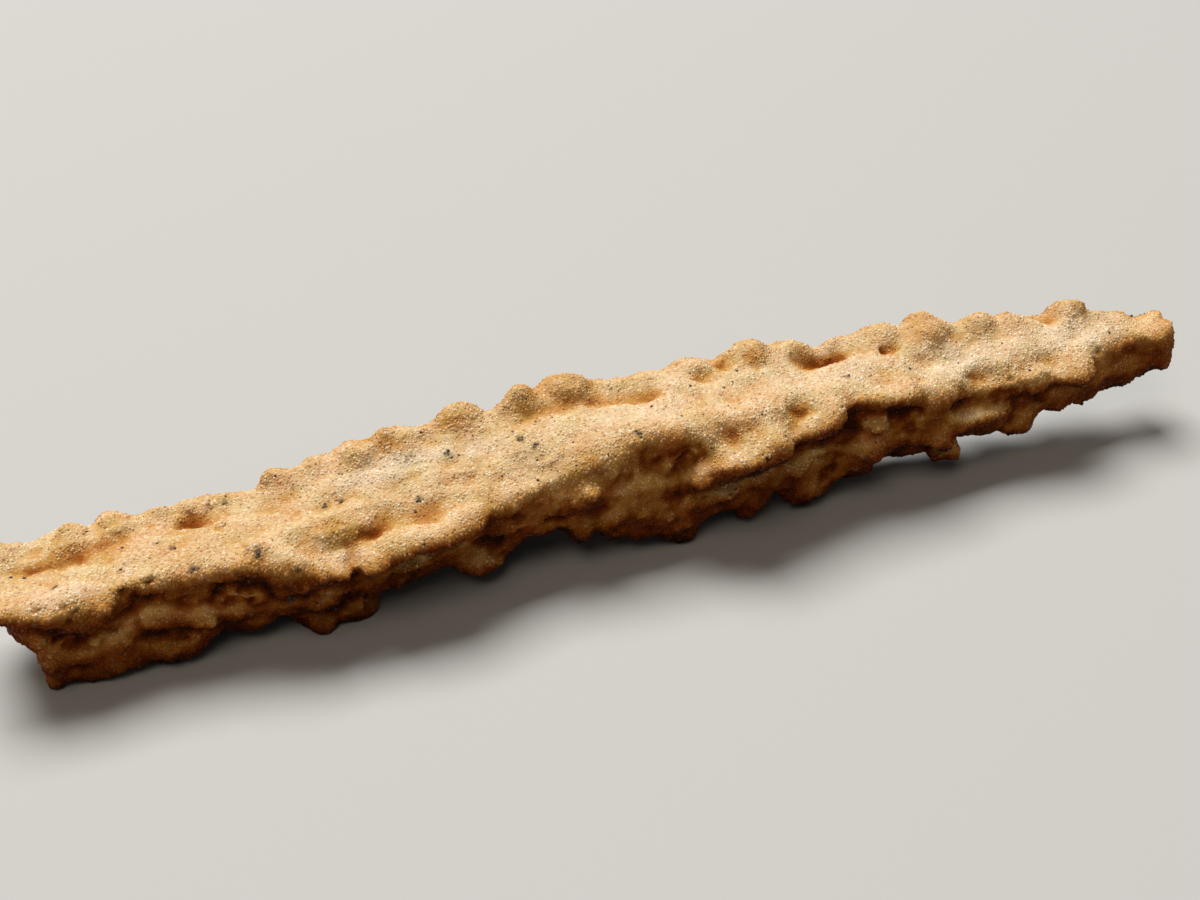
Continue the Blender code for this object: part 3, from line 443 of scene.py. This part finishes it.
def scatterGrains(name, start, end):
    thing = copyOf(bar, name)
    tree = newShapeTree(name)
    attributes = {a: addNode(tree, "GeometryNodeInputNamedAttribute", {"Name": a},
                             data_type="FLOAT").outputs[0]
                  for a in ("upward", "hollowWide", "speck", "pit")}
    # Random numbers from 0 to 1, one for each choice
    draws = {d: addNode(tree, "FunctionNodeRandomValue", {"Seed": grainSeeds[d]},
                        data_type="FLOAT").outputs[1]
             for d in ("kind", "size", "width", "height", "tone")}
    scattered = addNode(tree, "GeometryNodeDistributePointsOnFaces",
                        {"Mesh": tree.nodes["Group Input"], "Distance Min": grains["least"] * mm,
                         "Density Max": grains["density"] / mm ** 2, "Seed": grainSeeds["place"]},
                        distribute_method="POISSON")
    # Higher towards the underside and in the hollows: partly stain, partly painted shade
    stainAndShade = addNode(tree, "ShaderNodeMath",
                    (attributes["upward"], grains["upward"], attributes["hollowWide"]),
                    operation="MULTIPLY_ADD")
    stainAndShade = addNode(tree, "ShaderNodeMapRange",
                    {"Value": stainAndShade, "From Min": grains["stainAndShade"][0], "From Max": grains["stainAndShade"][1]})
    # This kind's stretch of the draw, which slides from the top's shares to the hollows'
    low = addNode(tree, "ShaderNodeMath", (stainAndShade, start[1] - start[0], start[0]),
                  operation="MULTIPLY_ADD")
    high = addNode(tree, "ShaderNodeMath", (stainAndShade, end[1] - end[0], end[0]), operation="MULTIPLY_ADD")
    above = addNode(tree, "ShaderNodeMath", (draws["kind"], low), operation="GREATER_THAN")
    below = addNode(tree, "ShaderNodeMath", (draws["kind"], high), operation="LESS_THAN")
    chosen = addNode(tree, "ShaderNodeMath", (above, below), operation="MULTIPLY")
    speck = addNode(tree, "ShaderNodeMath", (attributes["speck"], grains["speckFrom"]),
                    operation="GREATER_THAN")
    if name == "dark_grains":
        chosen = addNode(tree, "ShaderNodeMath", (chosen, speck), operation="MAXIMUM")
    else:
        clear = addNode(tree, "ShaderNodeMath", (1.0, speck), operation="SUBTRACT")
        chosen = addNode(tree, "ShaderNodeMath", (chosen, clear), operation="MULTIPLY")
    # No grain stands in a pit, nor under the level that the bar rests on
    place = addNode(tree, "GeometryNodeInputPosition")
    height = addNode(tree, "ShaderNodeSeparateXYZ", (place,)).outputs[2]
    lifted = addNode(tree, "ShaderNodeMath", (height, grains["lowest"] * mm), operation="GREATER_THAN")
    unpitted = addNode(tree, "ShaderNodeMath", (attributes["pit"], grains["pitFrom"]),
                       operation="LESS_THAN")
    chosen = addNode(tree, "ShaderNodeMath", (chosen, lifted), operation="MULTIPLY")
    chosen = addNode(tree, "ShaderNodeMath", (chosen, unpitted), operation="MULTIPLY")

    # Grains stand out on the weathered top and lie almost buried where the glass runs over them
    shallow, deep = grains["sunk"]
    sunk = addNode(tree, "ShaderNodeMath", (stainAndShade, (shallow - deep) * mm, -shallow * mm),
                   operation="MULTIPLY_ADD")
    sunk = addNode(tree, "ShaderNodeVectorMath", {0: scattered.outputs["Normal"], "Scale": sunk},
                   operation="SCALE")
    points = addNode(tree, "GeometryNodeSetPosition", {0: scattered, "Offset": sunk})
    form = addNode(tree, "GeometryNodeObjectInfo", {"Object": grainForm}).outputs["Geometry"]
    least, most = grains["size"]
    size = addNode(tree, "ShaderNodeMath", (draws["size"], grains["skew"]), operation="POWER")
    size = addNode(tree, "ShaderNodeMath", (size, (most - least) * mm, least * mm),
                   operation="MULTIPLY_ADD")
    narrowest, wider = grains["width"]
    width = addNode(tree, "ShaderNodeMath", (draws["width"], wider, narrowest), operation="MULTIPLY_ADD")
    width = addNode(tree, "ShaderNodeMath", (size, width), operation="MULTIPLY")
    flattest, thicker = grains["flatness"]
    depth = addNode(tree, "ShaderNodeMath", (draws["height"], thicker, flattest),
                    operation="MULTIPLY_ADD")
    depth = addNode(tree, "ShaderNodeMath", (size, depth), operation="MULTIPLY")
    scale = addNode(tree, "ShaderNodeCombineXYZ", (size, width, depth))
    spin = addNode(tree, "FunctionNodeRandomValue",
                   {0: (-grains["tilt"], -grains["tilt"], 0.0),
                    1: (grains["tilt"], grains["tilt"], math.tau), "Seed": grainSeeds["spin"]},
                   data_type="FLOAT_VECTOR")
    spin = addNode(tree, "FunctionNodeRotateRotation", (scattered.outputs["Rotation"], spin),
                   rotation_space="LOCAL")
    placed = addNode(tree, "GeometryNodeInstanceOnPoints",
                     {"Points": points, "Selection": chosen, "Instance": form, "Scale": scale,
                      "Rotation": spin})
    placed = addNode(tree, "GeometryNodeStoreNamedAttribute",
                     {"Geometry": placed, "Name": "tone", "Value": draws["tone"]},
                     data_type="FLOAT", domain="INSTANCE")
    shapeWith(thing, tree, addNode(tree, "GeometryNodeRealizeInstances", (placed,)))
    print(name, len(thing.data.polygons))
    return thing


grainPieces = {}
start = (0.0, 0.0)
for name, shares in grainKinds.items():
    end = (start[0] + shares["top"], start[1] + shares["hollow"])
    grainPieces[name] = scatterGrains(name, start, end)
    start = end
bpy.data.objects.remove(grainForm)

print("stage: materials")


# Silica sand melted by the strike: matt iron-stained glass between the grains, bleached where it
# weathers. Its colour darkens towards the underside and into the hollows, partly as iron stain and partly
# as painted shade
def sandMaterial(name, values):
    material = bpy.data.materials.new(name)
    material.use_nodes = True
    tree = material.node_tree
    shader = tree.nodes["Principled BSDF"]
    where = addNode(tree, "ShaderNodeTexCoord").outputs["Object"]
    own = ("tone",) if values["perGrain"] else ("speck", "pit")
    attributes = {a: addNode(tree, "ShaderNodeAttribute", attribute_name=a).outputs["Fac"]
                  for a in ("upward", "hollowWide", "hollow", "bleach") + own}

    blotch = addNode(tree, "ShaderNodeTexNoise",
                     {"Vector": where, "Scale": 1 / (stainAndShadeSettings["blotch"] * mm), "Detail": 3.0,
                      "Roughness": 0.6})
    # Darker and more orange the more a place faces down: partly iron stain, partly painted shade on the
    # front and underside
    stainAndShade = addNode(tree, "ShaderNodeMath", (attributes["upward"], stainAndShadeSettings["upward"], stainAndShadeSettings["base"]),
                    operation="MULTIPLY_ADD")
    # Stain gathers in the hollows, where the darkening is partly painted shade, and a little of it coats
    # the glassy knobs
    knob = addNode(tree, "ShaderNodeMath", (attributes["hollowWide"], -stainAndShadeSettings["knobs"]),
                   operation="MULTIPLY")
    hollowWide = addNode(tree, "ShaderNodeMath", (attributes["hollowWide"], knob), operation="MAXIMUM")
    for value, weight in ((hollowWide, stainAndShadeSettings["hollowWide"]), (attributes["hollow"], stainAndShadeSettings["hollow"]),
                          (blotch, stainAndShadeSettings["blotchWeight"]), (attributes["bleach"], stainAndShadeSettings["bleach"])):
        stainAndShade = addNode(tree, "ShaderNodeMath", (value, weight, stainAndShade), operation="MULTIPLY_ADD")
    ramps = []
    if values["perGrain"]:
        tone = attributes["tone"]
    else:
        tone = addNode(tree, "ShaderNodeTexVoronoi",
                       {"Vector": where, "Scale": 1 / (stainAndShadeSettings["toneWidth"] * mm)})
        tone = addNode(tree, "ShaderNodeSeparateColor", (tone.outputs["Color"],))
    for factor, stops in ((stainAndShade, values["stainAndShade"]), (tone, values["grain"])):
        ramp = addNode(tree, "ShaderNodeValToRGB", (factor,))
        elements = ramp.color_ramp.elements
        while len(elements) < len(stops):
            elements.new(0.5)
        for element, (position, colour) in zip(elements, stops):
            element.position, element.color = position, linearColour(colour)
        ramps.append(ramp)
    # The stain and painted shade coat the grains, so their own colour shows where they are thin
    share = addNode(tree, "ShaderNodeMapRange",
                    {"Value": stainAndShade, "From Min": stainAndShadeSettings["thin"][0], "From Max": stainAndShadeSettings["thin"][1],
                     "To Min": values["share"][0], "To Max": values["share"][1]})
    mixed = addNode(tree, "ShaderNodeMix", {0: share, 6: ramps[0], 7: ramps[1]},
                    data_type="RGBA").outputs[2]
    if not values["perGrain"]:
        # Specks are dark grains; the pit colour is painted shade in the burst bubbles
        for mark in ("speck", "pit"):
            amount = addNode(tree, "ShaderNodeMath", (attributes[mark], stainAndShadeSettings["markStrength"]),
                             operation="MULTIPLY", use_clamp=True)
            mixed = addNode(tree, "ShaderNodeMix", {0: amount, 6: mixed, 7: linearColour(stainAndShadeSettings[mark])},
                            data_type="RGBA").outputs[2]
    # Iron differs from place to place, so the tint drifts between olive and rose
    drift = addNode(tree, "ShaderNodeTexNoise", {"Vector": where, "Scale": 1 / (stainAndShadeSettings["tintWidth"] * mm),
                                                 "Detail": 2.0})
    drift = addNode(tree, "ShaderNodeMapRange",
                    {"Value": drift, "From Min": stainAndShadeSettings["drift"][0], "From Max": stainAndShadeSettings["drift"][1]})
    tint = addNode(tree, "ShaderNodeMix",
                   {0: drift, 6: linearColour(stainAndShadeSettings["olive"]), 7: linearColour(stainAndShadeSettings["rose"])},
                   data_type="RGBA").outputs[2]
    mixed = addNode(tree, "ShaderNodeMix", {0: stainAndShadeSettings["tint"], 6: mixed, 7: tint}, data_type="RGBA",
                    blend_type="SOFT_LIGHT").outputs[2]
    tree.links.new(mixed, shader.inputs["Base Color"])
    shader.inputs["Roughness"].default_value = values["roughness"]
    shader.inputs["IOR"].default_value = values["ior"]
    shader.inputs["Specular IOR Level"].default_value = values["gloss"]
    if values["bump"]:
        fine = addNode(tree, "ShaderNodeTexNoise",
                       {"Vector": where, "Scale": 1 / (stainAndShadeSettings["bumpWidth"] * mm), "Detail": 3.0})
        bump = addNode(tree, "ShaderNodeBump", {"Height": fine, "Distance": values["bump"] * mm,
                                                "Strength": 1.0})
        tree.links.new(bump.outputs[0], shader.inputs["Normal"])
    return material


# Weights of what stains or shades a place, with the downward and hollow weights partly painted shade,
# widths in mm, and the colours that are the same on every piece
stainAndShadeSettings = {"base": 0.40, "upward": -0.48, "hollowWide": 0.4, "knobs": 0.30, "hollow": 0.06,
          "blotch": 3.2, "blotchWeight": 0.5, "bleach": -0.35,
          "tintWidth": 2.4, "tint": 0.5, "olive": "#B8B890", "rose": "#C8A898", "drift": (0.35, 0.65),
          "thin": (0.2, 0.7), "toneWidth": 0.32, "bumpWidth": 0.18, "markStrength": 0.9,
          # The pit colour is painted shade inside the burst bubbles
          "speck": "#2B2420", "pit": "#3A1E0C"}
# Coat colours from the bleached top to the deep brown of the underside and hollows, whose dark end is
# partly painted shade
stainAndShadeStops = [(0.0, "#F2E8DA"), (0.22, "#E4CFB0"), (0.42, "#CEA062"), (0.6, "#A06626"), (0.8, "#743606"),
             (1.0, "#381A06")]
# Share is how much of a grain's own colour shows where the stain and painted shade are thin and where
# they are thick
finishes = {
    "fused_sand_skin": {
        "stainAndShade": [(0.0, "#E8DAC4"), (0.22, "#DAC09A"), (0.42, "#C09250"),
                  (0.6, "#925A20"), (0.8, "#662C05"), (1.0, "#301404")],
        "grain": [(0.0, "#A07850"), (0.4, "#C49A68"), (0.8, "#D8BC94"), (1.0, "#E8D8BE")],
        "share": (0.3, 0.0), "perGrain": False,
        "roughness": 0.8, "ior": 1.46, "gloss": 0.04, "bump": 0.1},
    "quartz_grains": {
        "stainAndShade": stainAndShadeStops,
        "grain": [(0.0, "#DCC09A"), (0.5, "#EBDCC2"), (1.0, "#FAF3E6")],
        "share": (0.55, 0.01), "perGrain": True,
        "roughness": 0.4, "ior": 1.54, "gloss": 0.2, "bump": 0.0},
    "milky_grains": {
        "stainAndShade": stainAndShadeStops,
        "grain": [(0.0, "#E0CCAC"), (0.5, "#EADAC0"), (1.0, "#F4E8D4")],
        "share": (0.5, 0.01), "perGrain": True,
        "roughness": 0.65, "ior": 1.5, "gloss": 0.06, "bump": 0.0},
    "tan_grains": {
        "stainAndShade": stainAndShadeStops,
        "grain": [(0.0, "#A87A48"), (0.5, "#C9A070"), (1.0, "#DDBB8C")],
        "share": (0.5, 0.01), "perGrain": True,
        "roughness": 0.6, "ior": 1.5, "gloss": 0.05, "bump": 0.0},
    "honey_grains": {
        "stainAndShade": stainAndShadeStops,
        "grain": [(0.0, "#8A4A18"), (0.5, "#B87430"), (1.0, "#D69A50")],
        "share": (0.5, 0.06), "perGrain": True,
        "roughness": 0.5, "ior": 1.5, "gloss": 0.05, "bump": 0.0},
    "dark_grains": {
        "stainAndShade": [(0.0, "#4A4038"), (1.0, "#2A221C")],
        "grain": [(0.0, "#2A2524"), (0.6, "#5A4E44"), (1.0, "#3C4642")],
        "share": (0.7, 0.7), "perGrain": True,
        "roughness": 0.45, "ior": 1.6, "gloss": 0.3, "bump": 0.0}}

for name, thing in {"fused_sand_skin": bar, **grainPieces}.items():
    thing.data.materials.clear()
    thing.data.materials.append(sandMaterial(name, finishes[name]))
    selectOnly(thing)
    bpy.ops.object.shade_smooth()
    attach(thing, "root")
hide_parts("fulgurite")
